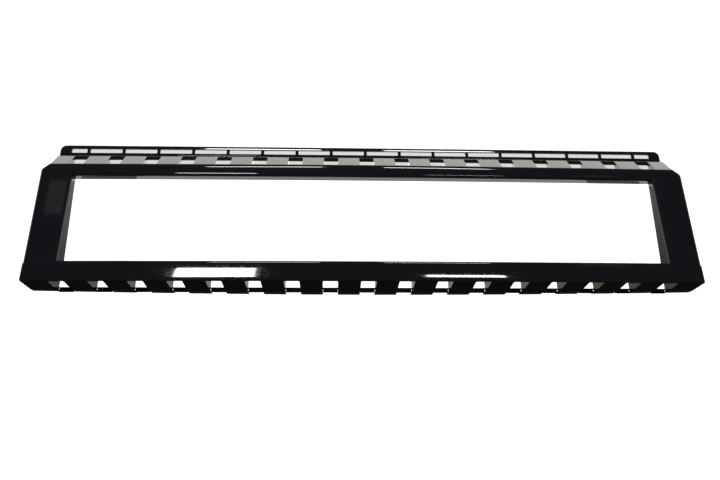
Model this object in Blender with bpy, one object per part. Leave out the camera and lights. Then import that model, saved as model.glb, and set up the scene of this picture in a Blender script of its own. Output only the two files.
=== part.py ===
"""Front grille surround: two gloss rails and two gloss posts round an open centre.

The piece lies on its back.  +X is to the viewer's right, +Y runs from the lower
rail to the vent strip, and +Z points out of the front face.  The origin is on
the resting plane, under the middle of the outline.  Heights are measured along
Y from the lower edge, depths are measured back from the front face.
"""
import math

import bmesh
import bpy
from mathutils import Matrix, Vector

# Driving dimensions, in metres.
PITCH = 0.066            # spacing of the window openings along both rails
SIDE_WINDOWS = 8         # windows on each side of the middle one
WINDOW = 0.0264          # width of a window
WALL = 0.003             # moulded wall thickness
RIB = 0.0024             # rib beside each window
GAP = 0.0003             # clearance between pieces that touch
HEIGHT = 0.2955          # lower edge to the top of the vent strip
DEPTH = 0.0835           # front face to the resting plane
BOW = 0.0042             # how far the front face falls back at the outer windows

EDGE = 0.0053            # bevel round the main opening
LOWER_WALL_HEIGHT = 0.0376  # lower side of the main opening
UPPER_WALL_HEIGHT = 0.2020  # upper side of the main opening
UPPER_FACE_HIGH = 0.2245  # upper rail's front edge, where its slope starts
LOWER_RETURN = 0.0225    # depth of the opening's lower wall
UPPER_RETURN = 0.0170    # depth of the opening's upper wall
POST_RETURN_LOW = 0.0350  # depth of a post's inner wall at its lower end
POST_RETURN_HIGH = 0.0205  # and at its upper end
POST_RETURN_OUTER = 0.0255  # depth of a post's outer wall
LOWER_HALF = 0.5890      # half length of the lower rail
POST_OUTER = 0.5875      # outer face of a post
POST_WALL = 0.5306       # side of the main opening
CHAMFER = 0.0045         # outer edge of the posts

MARGIN_START = 0.0610    # depth where the lower wall starts to lean inwards
REAR_EDGE = 0.0822       # depth of the lower wall's rear edge at the middle
REAR_CROWN = 0.0150      # how much shallower that edge is at the outer windows
LEAN = 0.0030            # rise of the leaning margin
RIB_BACK = 0.0595        # depth of the ribs' rear edges
FOLD_WALL = 0.00165      # how far the upper pockets stop below the fold of the face
RIB_HEIGHT = 0.0290      # height of the ribs at their rear edges

SLOPE_DEPTH = 0.0281     # depth of the upper rail's sloping wall
SLOPE_TOP = 0.2567       # height of its far edge
SLOPE_HALF = 0.5730      # half length of the sloping wall
CORNER_ROUND = 0.0065    # radius of the upper rail's outer corners
CORNER_STEPS = 4
CORNER_DROP = 0.0100     # height of the clipped upper corners
STRIP_DEPTH = 0.0551     # depth of the vent strip's face
STRIP_LOW = 0.2745
STRIP_HALF = 0.5820
SLOT_LOW = 0.2792
SLOT_HIGH = 0.2879
SLOT_BAR = 0.0062        # bar between two slots
SLOT_END = 0.5630

STRIP_FOOT = 0.0130      # length of the strip's foot under the rear flange
FLANGE = 0.0024          # thickness of the rear flange
FLANGE_DROP = 0.0080     # height of the flange's front lip
FLANGE_BEND = 0.0013     # how far the flange's inner bend lies from its outer one
LIP_STEP = 0.0040        # how far the lip lies behind the slope's far edge

BACK_RAIL_DEPTH = 0.0605  # depth of the lower rear rail
BACK_RAIL_HALF = 0.5740
BACK_RAIL_HEIGHTS = (0.0072, 0.0095)
TONGUE_HEIGHTS = (0.0006, 0.0085)

BRACKET_DEPTH = 0.0262   # depth of the corner brackets' plates
PLATE_X = (0.5450, 0.5835)
FOOT_X = (0.5615, 0.5835)
FOOT_HOLE = 0.0048
BUSH_BORE = 0.0033
BUSH_LENGTH = 0.0045

BOSS = 0.0042            # radius of a screw boss
PILOT = 0.0014           # radius of a screw hole
SHANK = 0.0011
HEAD = 0.0035
HEAD_HEIGHT = 0.0022
CORNER_REACH = 0.0090    # how far a corner screw reaches past its head
STRIP_REACH = 0.0046     # how far a strip screw reaches past its head
STRIP_SCREW_INSET = 0.0075
PILOT_SHARE = 0.8        # share of the rear flange that a strip screw's hole goes into
ROUND = 16               # sides of a round piece

RAIL_SCREW_HEIGHTS = {"lower": 0.0170, "upper": 0.2185}
RAIL_SCREW_X = {"lower": (0.5590, 0.5790), "upper": (0.5555,)}
POST_SCREW_X = 0.5515
POST_SCREW_HEIGHTS = {"lower": (0.0480, 0.0700), "upper": (0.1760, 0.1980)}
PLATE_HEIGHTS = {"lower": (0.0100, 0.0780), "upper": (0.1680, 0.2090)}
EAR_X = {"lower": (0.5500, 0.5800), "upper": (0.5500, 0.5640)}
EAR_HEIGHTS = {"lower": (0.0090, 0.0300), "upper": (0.2000, 0.2225)}
FOOT_HEIGHTS = {"lower": (0.0500, 0.0740), "upper": (0.1720, 0.1960)}

WINDOWS = [PITCH * step for step in range(-SIDE_WINDOWS, SIDE_WINDOWS + 1)]
OUTER_WINDOW = PITCH * SIDE_WINDOWS

for old in list(bpy.data.objects):
    bpy.data.objects.remove(old)

parts = bpy.data.collections.new("front_grille")
cutters = bpy.data.collections.new("cutters")
for collection in (parts, cutters):
    bpy.context.scene.collection.children.link(collection)


def point(x, height, depth):
    """A point given by its place along the rails, its height and its depth."""
    return Vector((x, height - HEIGHT / 2, DEPTH - depth))


def finish(name, colour, roughness, metallic):
    """A plain shader for one family of pieces."""
    made = bpy.data.materials.new(name)
    made.use_nodes = True
    shader = made.node_tree.nodes["Principled BSDF"]
    shader.inputs["Base Color"].default_value = (*colour, 1)
    shader.inputs["Roughness"].default_value = roughness
    shader.inputs["Metallic"].default_value = metallic
    return made


GLOSS_BLACK = finish("gloss_black", (0.008, 0.008, 0.010), 0.06, 0)
ZINC_STEEL = finish("zinc_steel", (0.56, 0.57, 0.58), 0.35, 1)


def add_object(name, bm, material=None):
    """Turn a finished bmesh into a part, or into a cutter if it has no material."""
    mesh = bpy.data.meshes.new(name)
    bmesh.ops.recalc_face_normals(bm, faces=bm.faces)
    bm.to_mesh(mesh)
    bm.free()
    made = bpy.data.objects.new(name, mesh)
    if material:
        mesh.materials.append(material)
        parts.objects.link(made)
    else:
        made.hide_render = True
        made.display_type = "WIRE"
        cutters.objects.link(made)
    return made


def add_loft(bm, rings):
    """Join rings of points, one after another, into a closed body."""
    loops = [[bm.verts.new(place) for place in ring] for ring in rings]
    count = len(loops[0])
    for one, two in zip(loops, loops[1:]):
        for i in range(count):
            j = (i + 1) % count
            bm.faces.new((one[i], one[j], two[j], two[i]))
    bm.faces.new(loops[0])
    bm.faces.new(loops[-1])


def add_box(bm, xs, heights, depths):
    """A box between two corners."""
    low = point(xs[0], heights[0], depths[1])
    high = point(xs[1], heights[1], depths[0])
    size = Matrix.Diagonal((*(high - low), 1))
    bmesh.ops.create_cube(bm, size=1, matrix=Matrix.Translation((low + high) / 2) @ size)


def add_cylinder(bm, centre, axis, radius, length):
    """A round bar that starts at centre and runs along axis."""
    turn = Vector((0, 0, 1)).rotation_difference(axis).to_matrix().to_4x4()
    place = Matrix.Translation(centre + axis * (length / 2)) @ turn
    bmesh.ops.create_cone(bm, cap_ends=True, segments=ROUND, radius1=radius,
                          radius2=radius, depth=length, matrix=place)


def combine(target, other, operation):
    """Join another body to a part, or cut it away."""
    change = target.modifiers.new(other.name, "BOOLEAN")
    change.operation = operation
    change.solver = "EXACT"
    change.object = other


def settle(part):
    """Apply the modifiers, then lay the piece along the bowed front face."""
    view = bpy.context.evaluated_depsgraph_get()
    mesh = bpy.data.meshes.new_from_object(part.evaluated_get(view))
    for vertex in mesh.vertices:
        fall = BOW * (vertex.co.x / OUTER_WINDOW) ** 2
        vertex.co.z *= 1 - fall / DEPTH
    part.modifiers.clear()
    part.data = mesh


def stations(half):
    """Places along a rail where its section is set, half a pitch apart."""
    inner = [PITCH / 2 * step for step in range(-2 * SIDE_WINDOWS - 1, 2 * SIDE_WINDOWS + 2)]
    return [-half] + [x for x in inner if abs(x) < half - WALL] + [half]


def rail_body(name, half, outline, material):
    """A rail made by moving an outline along X; the outline may change on the way."""
    bm = bmesh.new()
    add_loft(bm, [[point(x, *corner) for corner in outline(x)] for x in stations(half)])
    return add_object(name, bm, material)


def rear_crown(x):
    return REAR_CROWN * (x / OUTER_WINDOW) ** 2


def wall_lean(x, depth):
    """How far the lower wall has leaned inwards at a depth."""
    start = MARGIN_START - rear_crown(x)
    return LEAN * max(0, depth - start) / (REAR_EDGE - MARGIN_START)


def lower_outline(x):
    start = MARGIN_START - rear_crown(x)
    edge = REAR_EDGE - rear_crown(x)
    return [(LOWER_WALL_HEIGHT, LOWER_RETURN), (LOWER_WALL_HEIGHT, EDGE), (LOWER_WALL_HEIGHT - EDGE, 0),
            (0, 0), (0, start), (LEAN, edge), (LEAN + WALL, edge),
            (WALL + wall_lean(x, RIB_BACK), RIB_BACK), (RIB_HEIGHT, RIB_BACK),
            (LOWER_WALL_HEIGHT - WALL, LOWER_RETURN)]


def lower_bay(x):
    """Section of the space between two ribs of the lower rail."""
    start = MARGIN_START - rear_crown(x)
    high = LOWER_WALL_HEIGHT - WALL
    return [(high, EDGE + WALL / 2), (high - EDGE + WALL / 2, WALL), (WALL, WALL), (WALL, start),
            (WALL + wall_lean(x, DEPTH), DEPTH), (high, DEPTH)]


def lower_window(_):
    high = LOWER_WALL_HEIGHT - WALL
    return [(high, EDGE + WALL / 2), (high - EDGE + WALL / 2, WALL), (-WALL, WALL), (-WALL, DEPTH),
            (high, DEPTH)]


def upper_outline(_):
    seat = SLOPE_DEPTH + LIP_STEP - GAP
    return [(UPPER_WALL_HEIGHT, UPPER_RETURN), (UPPER_WALL_HEIGHT, EDGE), (UPPER_WALL_HEIGHT + EDGE, 0),
            (UPPER_FACE_HIGH, 0), (SLOPE_TOP, SLOPE_DEPTH), (SLOPE_TOP, seat), (SLOPE_TOP - WALL, seat),
            (UPPER_WALL_HEIGHT + WALL, UPPER_RETURN)]


SLOPE = Vector((SLOPE_TOP - UPPER_FACE_HIGH, SLOPE_DEPTH)).normalized()


def upper_bay(_):
    """Section of the space between two ribs of the upper rail."""
    low = UPPER_WALL_HEIGHT + WALL
    high = UPPER_FACE_HIGH - FOLD_WALL
    rise = SLOPE.x / SLOPE.y
    return [(low, EDGE + WALL / 2), (low + EDGE - WALL / 2, WALL), (high, WALL),
            (high + rise * (DEPTH - WALL), DEPTH), (low, DEPTH)]


def upper_window(_):
    low = UPPER_WALL_HEIGHT + WALL
    return [(low, EDGE + WALL / 2), (low + EDGE - WALL / 2, WALL), (HEIGHT, WALL), (HEIGHT, DEPTH),
            (low, DEPTH)]


def hollow(name, end, bay, window):
    """The cutter that leaves ribs: a tunnel at each window and a bay between them."""
    bm = bmesh.new()
    half = WINDOW / 2
    for x in WINDOWS:
        add_loft(bm, [[point(at, *corner) for corner in window(at)] for at in (x - half, x + half)])
    sides = [-end] + [x + half + RIB for x in WINDOWS]
    others = [x - half - RIB for x in WINDOWS] + [end]
    for left, right in zip(sides, others):
        middle = (left + right) / 2
        rings = [[point(at, *corner) for corner in bay(at)] for at in (left, middle, right)]
        add_loft(bm, rings)
    return add_object(name, bm)


def add_bosses(part, name, places):
    """Screw bosses on the back of a face, each with its pilot hole."""
    solid = bmesh.new()
    holes = bmesh.new()
    top = BRACKET_DEPTH - GAP
    for x, height in places:
        add_cylinder(solid, point(x, height, WALL / 2), Vector((0, 0, -1)), BOSS, top - WALL / 2)
        add_cylinder(holes, point(x, height, top + WALL), Vector((0, 0, 1)), PILOT, CORNER_REACH + WALL)
    combine(part, add_object(name + "_bosses", solid), "UNION")
    combine(part, add_object(name + "_pilots", holes), "DIFFERENCE")


def rail_screws(corner, side):
    return [(side * x, RAIL_SCREW_HEIGHTS[corner]) for x in RAIL_SCREW_X[corner]]


def post_screws(corner, side):
    return [(side * POST_SCREW_X, height) for height in POST_SCREW_HEIGHTS[corner]]


def mirrored(pair, side):
    return tuple(sorted(side * value for value in pair))


def end_notches(name, heights):
    """Room at a rail's ends for the posts, which run as far as the flat of its face."""
    bm = bmesh.new()
    for side in (-1, 1):
        xs = mirrored((POST_WALL - GAP, LOWER_HALF + WALL), side)
        add_box(bm, xs, heights, (-WALL, DEPTH + WALL))
    return add_object(name, bm)


def make_lower_rail():
    """Face, deep lower wall, short return wall and the ribs beside each window."""
    rail = rail_body("lower_rail", LOWER_HALF, lower_outline, GLOSS_BLACK)
    combine(rail, hollow("lower_hollow", LOWER_HALF - WALL, lower_bay, lower_window), "DIFFERENCE")
    notches = end_notches("lower_end_notches", (LOWER_WALL_HEIGHT - EDGE, LOWER_WALL_HEIGHT + WALL))
    combine(rail, notches, "DIFFERENCE")
    add_bosses(rail, "lower_rail", rail_screws("lower", -1) + rail_screws("lower", 1))
    settle(rail)


def rounded_corner(before, corner, after, radius):
    """The arc that rounds the corner between two straight stretches of an outline."""
    corner = Vector(corner)
    to_before = (Vector(before) - corner).normalized()
    to_after = (Vector(after) - corner).normalized()
    half = to_before.angle(to_after) / 2
    middle = corner + (to_before + to_after).normalized() * (radius / math.sin(half))
    first = corner + to_before * (radius / math.tan(half)) - middle
    last = corner + to_after * (radius / math.tan(half)) - middle
    spokes = [first.slerp(last, step / CORNER_STEPS) for step in range(CORNER_STEPS + 1)]
    return [tuple(middle + spoke * radius) for spoke in spokes]


def make_upper_rail():
    """Narrow face, sloping wall with the windows, and the rounded outer corners."""
    rail = rail_body("upper_rail", POST_OUTER, upper_outline, GLOSS_BLACK)
    combine(rail, hollow("upper_hollow", SLOPE_HALF - WALL, upper_bay, upper_window), "DIFFERENCE")
    notches = end_notches("upper_end_notches", (UPPER_WALL_HEIGHT - WALL, UPPER_WALL_HEIGHT + EDGE))
    combine(rail, notches, "DIFFERENCE")
    outside = POST_OUTER + WALL
    turn = (POST_OUTER, UPPER_FACE_HIGH - CORNER_DROP)
    slope_end = (SLOPE_HALF, UPPER_FACE_HIGH + WALL)
    arc = rounded_corner((POST_OUTER, UPPER_WALL_HEIGHT), turn, slope_end, CORNER_ROUND)
    corners = [(outside, arc[0][1]), *arc, slope_end, (SLOPE_HALF, HEIGHT), (outside, HEIGHT)]
    clip = bmesh.new()
    for side in (-1, 1):
        rings = [[point(side * x, height, depth) for x, height in corners] for depth in (-WALL, DEPTH)]
        add_loft(clip, rings)
    combine(rail, add_object("upper_corner_clips", clip), "DIFFERENCE")
    add_bosses(rail, "upper_rail", rail_screws("upper", -1) + rail_screws("upper", 1))
    settle(rail)


def make_post(name, side):
    """An open-backed channel between the rails, with a bevelled outer edge."""
    low = LOWER_WALL_HEIGHT - EDGE + GAP
    high = UPPER_WALL_HEIGHT + EDGE - GAP
    bevel = POST_OUTER - CHAMFER
    inner = [(POST_WALL + WALL, DEPTH / 2), (POST_WALL + WALL, EDGE + WALL / 2),
             (POST_WALL + EDGE + WALL / 2, WALL), (bevel - WALL / 2, WALL),
             (POST_OUTER - WALL, CHAMFER + WALL / 2), (POST_OUTER - WALL, DEPTH / 2)]
    body = bmesh.new()
    rings = []
    for height, depth in ((low, POST_RETURN_LOW), (high, POST_RETURN_HIGH)):
        outer = [(POST_WALL, depth), (POST_WALL, EDGE), (POST_WALL + EDGE, 0), (bevel, 0),
                 (POST_OUTER, CHAMFER), (POST_OUTER, POST_RETURN_OUTER)]
        rings.append([point(side * x, height, back) for x, back in outer])
    add_loft(body, rings)
    post = add_object(name, body, GLOSS_BLACK)
    space = bmesh.new()
    rings = [[point(side * x, height, depth) for x, depth in inner] for height in (low - WALL, high + WALL)]
    add_loft(space, rings)
    combine(post, add_object(name + "_space", space), "DIFFERENCE")
    add_bosses(post, name, post_screws("lower", side) + post_screws("upper", side))
    settle(post)


def make_lower_rear_rail():
    """A straight stiffening rail behind the ribs, with a tongue in each notch."""
    low, high = BACK_RAIL_HEIGHTS
    depths = (BACK_RAIL_DEPTH, BACK_RAIL_DEPTH + WALL)

    def outline(_):
        return [(low, depths[0]), (high, depths[0]), (high, depths[1]), (low, depths[1])]
    rail = rail_body("lower_rear_rail", BACK_RAIL_HALF, outline, GLOSS_BLACK)
    tongues = bmesh.new()
    half = WINDOW / 2 - GAP
    for x in WINDOWS:
        add_box(tongues, (x - half, x + half), TONGUE_HEIGHTS, depths)
    combine(rail, add_object("lower_tongues", tongues), "UNION")
    settle(rail)


# The rear flange runs from the end of the slope to the foot of the vent strip.
FLANGE_START = Vector((SLOPE_TOP + WALL, SLOPE_DEPTH + LIP_STEP))
FLANGE_END = Vector((STRIP_LOW - GAP, STRIP_DEPTH))
ALONG = (FLANGE_END - FLANGE_START).normalized()
UNDER = Vector((-ALONG.y, ALONG.x))
OUTWARD = Vector((0, -UNDER.x, UNDER.y))
STRIP_SCREWS = [PITCH * (step + 0.5) for step in (-8, -5, -2, 1, 4, 7)]


def strip_screw_place(x, below):
    """A point on a strip screw's axis, a distance below the rear flange's face."""
    height, depth = FLANGE_END - ALONG * STRIP_SCREW_INSET + UNDER * below
    return point(x, height, depth)


def make_upper_rear_rail():
    """The flange behind the upper windows, which carries the vent strip."""
    bend = FLANGE_START + UNDER * FLANGE + ALONG * FLANGE_BEND
    low = FLANGE_START.x - FLANGE_DROP

    def outline(_):
        return [(low, FLANGE_START.y), FLANGE_START, FLANGE_END, FLANGE_END + UNDER * FLANGE, bend,
                (low, bend.y)]
    rail = rail_body("upper_rear_rail", SLOPE_HALF, outline, GLOSS_BLACK)
    pilots = bmesh.new()
    for x in STRIP_SCREWS:
        add_cylinder(pilots, strip_screw_place(x, FLANGE + GAP), OUTWARD, PILOT, FLANGE * PILOT_SHARE)
    combine(rail, add_object("strip_pilots", pilots), "DIFFERENCE")
    settle(rail)


def make_vent_strip():
    """Slotted strip parallel to the face, with a foot under the rear flange."""
    line = FLANGE_END + UNDER * (FLANGE + GAP)
    start = line + ALONG * ((STRIP_LOW - line.x) / ALONG.x)
    reach = start - ALONG * STRIP_FOOT

    def outline(_):
        return [(HEIGHT, STRIP_DEPTH), (STRIP_LOW, STRIP_DEPTH), start, reach, reach + UNDER * WALL,
                start + UNDER * WALL, (SLOT_LOW, STRIP_DEPTH + WALL), (HEIGHT, STRIP_DEPTH + WALL)]
    strip = rail_body("vent_strip", STRIP_HALF, outline, GLOSS_BLACK)
    slots = bmesh.new()
    edges = [-SLOT_END] + WINDOWS + [SLOT_END]
    for left, right in zip(edges, edges[1:]):
        add_box(slots, (left + SLOT_BAR / 2, right - SLOT_BAR / 2), (SLOT_LOW, SLOT_HIGH),
                (STRIP_DEPTH - WALL, STRIP_DEPTH + 2 * WALL))
    combine(strip, add_object("strip_slots", slots), "DIFFERENCE")
    holes = bmesh.new()
    for x in STRIP_SCREWS:
        add_cylinder(holes, strip_screw_place(x, FLANGE + 2 * WALL), OUTWARD, PILOT, 2 * WALL)
    combine(strip, add_object("strip_holes", holes), "DIFFERENCE")
    settle(strip)


def make_bracket(name, corner, side):
    """A bent steel plate that ties a post to a rail and stands on the resting plane."""
    plate = (BRACKET_DEPTH, BRACKET_DEPTH + WALL)
    foot = FOOT_HEIGHTS[corner]
    boxes = [(PLATE_X, PLATE_HEIGHTS[corner], plate),
             (EAR_X[corner], EAR_HEIGHTS[corner], plate),
             ((FOOT_X[1] - WALL, FOOT_X[1]), foot, (BRACKET_DEPTH, DEPTH)),
             (FOOT_X, foot, (DEPTH - WALL, DEPTH))]
    bracket = None
    for number, (xs, heights, depths) in enumerate(boxes):
        body = bmesh.new()
        add_box(body, mirrored(xs, side), heights, depths)
        if bracket is None:
            bracket = add_object(name, body, ZINC_STEEL)
        else:
            combine(bracket, add_object(f"{name}_bend_{number}", body), "UNION")
    holes = bmesh.new()
    for x, height in rail_screws(corner, side) + post_screws(corner, side):
        add_cylinder(holes, point(x, height, DEPTH / 2), Vector((0, 0, 1)), PILOT, DEPTH / 2)
    add_cylinder(holes, foot_centre(corner, side, DEPTH + WALL), Vector((0, 0, 1)), FOOT_HOLE, 3 * WALL)
    combine(bracket, add_object(name + "_holes", holes), "DIFFERENCE")
    settle(bracket)


def foot_centre(corner, side, depth):
    """A point on the axis of a foot's bolt hole."""
    x = sum(FOOT_X) / 2 - WALL / 2
    return point(side * x, sum(FOOT_HEIGHTS[corner]) / 2, depth)


def make_bush(name, corner, side):
    """The steel sleeve that keeps a bolt from crushing a foot."""
    up = Vector((0, 0, 1))
    ring = bmesh.new()
    add_cylinder(ring, foot_centre(corner, side, DEPTH - GAP), up, FOOT_HOLE - GAP, BUSH_LENGTH)
    bush = add_object(name, ring, ZINC_STEEL)
    bore = bmesh.new()
    add_cylinder(bore, foot_centre(corner, side, DEPTH + WALL), up, BUSH_BORE, BUSH_LENGTH + 2 * WALL)
    combine(bush, add_object(name + "_bore", bore), "DIFFERENCE")
    settle(bush)


def make_screw(name, seat, axis, reach):
    """A pan-head screw: the head sits on the seat and the shank runs along axis."""
    body = bmesh.new()
    add_cylinder(body, seat - axis * (HEAD_HEIGHT + GAP), axis, HEAD, HEAD_HEIGHT)
    screw = add_object(name, body, ZINC_STEEL)
    shank = bmesh.new()
    add_cylinder(shank, seat - axis * (HEAD_HEIGHT / 2), axis, SHANK, reach + HEAD_HEIGHT / 2)
    combine(screw, add_object(name + "_shank", shank), "UNION")
    settle(screw)


def make_corner(corner, side):
    """A bracket, its screws and the bush in its foot."""
    place = f"{corner}_{'left' if side < 0 else 'right'}"
    make_bracket(f"{place}_bracket", corner, side)
    make_bush(f"{place}_bush", corner, side)
    for number, (x, height) in enumerate(rail_screws(corner, side) + post_screws(corner, side), 1):
        seat = point(x, height, BRACKET_DEPTH + WALL)
        make_screw(f"{place}_screw_{number}", seat, Vector((0, 0, 1)), CORNER_REACH)


make_lower_rail()
make_upper_rail()
make_post("left_post", -1)
make_post("right_post", 1)
make_lower_rear_rail()
make_upper_rear_rail()
make_vent_strip()
for place in ("lower", "upper"):
    for hand in (-1, 1):
        make_corner(place, hand)
for index, place in enumerate(STRIP_SCREWS, 1):
    seat = strip_screw_place(place, FLANGE + GAP + WALL)
    make_screw(f"strip_screw_{index}", seat, OUTWARD, STRIP_REACH)
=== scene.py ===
import math

import bmesh
import bpy
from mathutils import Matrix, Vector


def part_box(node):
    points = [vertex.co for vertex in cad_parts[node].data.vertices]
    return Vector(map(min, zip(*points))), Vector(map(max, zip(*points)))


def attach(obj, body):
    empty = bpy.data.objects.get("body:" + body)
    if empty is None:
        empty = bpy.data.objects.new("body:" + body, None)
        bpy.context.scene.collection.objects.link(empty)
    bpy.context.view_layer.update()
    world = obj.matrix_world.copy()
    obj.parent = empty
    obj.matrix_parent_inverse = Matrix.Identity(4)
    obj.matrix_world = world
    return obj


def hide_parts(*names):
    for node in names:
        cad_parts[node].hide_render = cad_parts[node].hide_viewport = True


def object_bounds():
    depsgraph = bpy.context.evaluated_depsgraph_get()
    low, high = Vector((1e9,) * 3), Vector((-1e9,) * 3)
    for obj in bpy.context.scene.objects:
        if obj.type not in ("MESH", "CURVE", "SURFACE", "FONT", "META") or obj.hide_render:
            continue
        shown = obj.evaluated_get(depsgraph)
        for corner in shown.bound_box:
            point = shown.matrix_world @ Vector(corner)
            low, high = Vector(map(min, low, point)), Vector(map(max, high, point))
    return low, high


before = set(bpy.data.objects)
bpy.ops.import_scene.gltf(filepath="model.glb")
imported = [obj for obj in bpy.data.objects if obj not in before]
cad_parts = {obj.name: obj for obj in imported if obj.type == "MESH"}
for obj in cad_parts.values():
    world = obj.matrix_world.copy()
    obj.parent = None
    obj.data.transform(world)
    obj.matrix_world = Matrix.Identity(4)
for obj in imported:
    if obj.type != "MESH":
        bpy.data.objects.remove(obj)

cad_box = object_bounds()


# ---------------------------------------------------------------- lower rail
# The wide lower rail of the surround, injection moulded in gloss black ABS.
# A deep lower wall runs back from its face. It has a notch for each clip of the
# insert and a rib on both sides of each notch, and its rear margin leans inwards.

PITCH = 0.066
WINDOWS = 17
SIDE_WINDOWS = (WINDOWS - 1) // 2
OUTER_WINDOW = PITCH * SIDE_WINDOWS
WALL = 0.003
RIB = 0.0024
NOTCH = 0.0264
NOTCH_ROUND = 0.0024
BOW = 0.0042
box_low, box_high = cad_box
HEIGHT = box_high[1] - box_low[1]
DEPTH = box_high[2] - box_low[2]
BEYOND = 0.004
MOULD_EDGE = 0.0004
POST_EDGE = 0.0002
PRESS_EDGE = 0.0003
SCREW_EDGE = 0.00012

LOWER_HALF = 0.5890
LOWER_TOP = 0.0376
LOWER_DRAFT = 0.0040
LOWER_CORNER = 0.0035
FACE_DROP = 0.0012
FACE_FLAT_TO = 0.0262
EDGE = 0.0053
END_EDGE = 0.0045
LOWER_RETURN = 0.0225
MARGIN_START = 0.0610
REAR_EDGE = 0.0822
REAR_CROWN = 0.0150
LEAN = 0.0030
RIB_BACK = 0.0595
RIB_HEIGHT = 0.0290
LOWER_NOTCH_FRONT = 0.0038
SEAM_X = 0.5281
SEAM = 0.00003
FACE_STEPS = 7
FACE_ROUND = 0.0022
MARGIN_ROUND = 0.0060
LIP_ROUND = 0.0008
BOSS_BACK = 0.0259
BOSS = 0.0042
PILOT = 0.0014
PILOT_FRONT = 0.0180
RAIL_SCREWS = {"lower": [(0.5590, 0.0170), (0.5790, 0.0170)], "upper": [(0.5555, 0.2185)]}


def place(x, height, depth):
    """A point from its place along the rails, its height and its depth behind the face."""
    return Vector((x, box_low[1] + height, box_high[2] - depth))


def rounded(corners, turn_step=12):
    """An outline from (a, b, radius) corners, with an arc at each corner that has a radius."""
    line = []
    for i, (a, b, radius) in enumerate(corners):
        here = Vector((a, b))
        if radius == 0:
            line.append(here)
            continue
        before = (Vector(corners[i - 1][:2]) - here).normalized()
        after = (Vector(corners[(i + 1) % len(corners)][:2]) - here).normalized()
        opening = before.angle(after)
        middle = here + (before + after).normalized() * (radius / math.sin(opening / 2))
        start = here + before * (radius / math.tan(opening / 2)) - middle
        turn = math.pi - opening
        if before.x * after.y - before.y * after.x > 0:
            turn = -turn
        steps = max(2, round(math.degrees(abs(turn)) / turn_step))
        for k in range(steps + 1):
            spin = turn * k / steps
            line.append(middle + Vector((start.x * math.cos(spin) - start.y * math.sin(spin),
                                         start.x * math.sin(spin) + start.y * math.cos(spin))))
    return line


def loft(name, rings):
    """A closed solid through rings of points."""
    bm = bmesh.new()
    loops = [[bm.verts.new(co) for co in ring] for ring in rings]
    for one, two in zip(loops, loops[1:]):
        for i in range(len(one)):
            j = (i + 1) % len(one)
            bm.faces.new((one[i], one[j], two[j], two[i]))
    bm.faces.new(loops[0])
    bm.faces.new(loops[-1])
    bmesh.ops.recalc_face_normals(bm, faces=bm.faces)
    mesh = bpy.data.meshes.new(name)
    bm.to_mesh(mesh)
    bm.free()
    made = bpy.data.objects.new(name, mesh)
    bpy.context.scene.collection.objects.link(made)
    return made


def along_rail(name, half, outline):
    """A rail through stations half a pitch apart, close enough for its bow to look smooth."""
    count = int((half - WALL) / (PITCH / 2))
    stations = [-half] + [PITCH / 2 * k for k in range(-count, count + 1)] + [half]
    return loft(name, [[place(x, *corner) for corner in outline(x)] for x in stations])


def crown(x):
    return (x / OUTER_WINDOW) ** 2


def applied(piece):
    """Replace a piece's mesh by what its modifiers make of it."""
    view = bpy.context.evaluated_depsgraph_get()
    mesh = bpy.data.meshes.new_from_object(piece.evaluated_get(view))
    piece.modifiers.clear()
    piece.data = mesh
    return piece


def combine(piece, tool, operation="DIFFERENCE"):
    """Cut, join or intersect a piece with a tool, which is then thrown away."""
    change = piece.modifiers.new("combine", "BOOLEAN")
    change.operation = operation
    change.solver = "EXACT"
    change.object = tool
    applied(piece)
    bpy.data.objects.remove(tool)


def joined(bodies):
    """Put several closed bodies into one tool."""
    bm = bmesh.new()
    for body in bodies:
        bm.from_mesh(body.data)
        bpy.data.objects.remove(body)
    mesh = bpy.data.meshes.new("tool")
    bm.to_mesh(mesh)
    bm.free()
    made = bpy.data.objects.new("tool", mesh)
    bpy.context.scene.collection.objects.link(made)
    return made


def slab(xs, heights, depths):
    """A plain block, for cutting."""
    corners = [(xs[0], heights[0]), (xs[1], heights[0]), (xs[1], heights[1]), (xs[0], heights[1])]
    return loft("slab", [[place(*corner, depth) for corner in corners] for depth in depths])


def window_tool(fronts, radius):
    """The tunnel through one window, from (height, front depth) pairs, with rounded front corners."""
    rings = []
    half = NOTCH / 2
    for height, front in fronts:
        outline = rounded([(-half, front, radius), (half, front, radius), (half, DEPTH + BEYOND, 0),
                           (-half, DEPTH + BEYOND, 0)], turn_step=18)
        rings.append([place(x, height, depth) for x, depth in outline])
    return loft("window", rings)


def bay_tool(outline, width, centre=0.0):
    """The pocket between two ribs, from a (height, depth) outline."""
    ends = (centre - width / 2, centre + width / 2)
    return loft("bay", [[place(x, *corner) for corner in outline] for x in ends])


def end_mould(right_side, radius, draft=0.0, front=0.0):
    """All that a moulding may fill, seen from the front; its ends are rounded over."""
    levels = [(front - BEYOND, radius)]
    for k in range(7):
        turn = math.radians(15 * k)
        levels.append((front + radius * (1 - math.cos(turn)), radius * (1 - math.sin(turn))))
    levels.append((DEPTH + BEYOND, draft))
    rings = []
    for depth, inset in levels:
        ring = [place(x - inset, height, depth) for x, height in right_side]
        ring += [place(inset - x, height, depth) for x, height in reversed(right_side)]
        rings.append(ring)
    return loft("mould", rings)


def add_node(tree, kind, links=None, **settings):
    """Add a node, set its properties, and give its inputs their links or values."""
    made = tree.nodes.new(kind)
    for key, value in settings.items():
        setattr(made, key, value)
    for key, value in (links or {}).items():
        if isinstance(value, bpy.types.NodeSocket):
            tree.links.new(value, made.inputs[key])
        else:
            made.inputs[key].default_value = value
    return made


def calculate(tree, operation, *values):
    """The result of one math node."""
    return add_node(tree, "ShaderNodeMath", dict(enumerate(values)), operation=operation).outputs[0]


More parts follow.
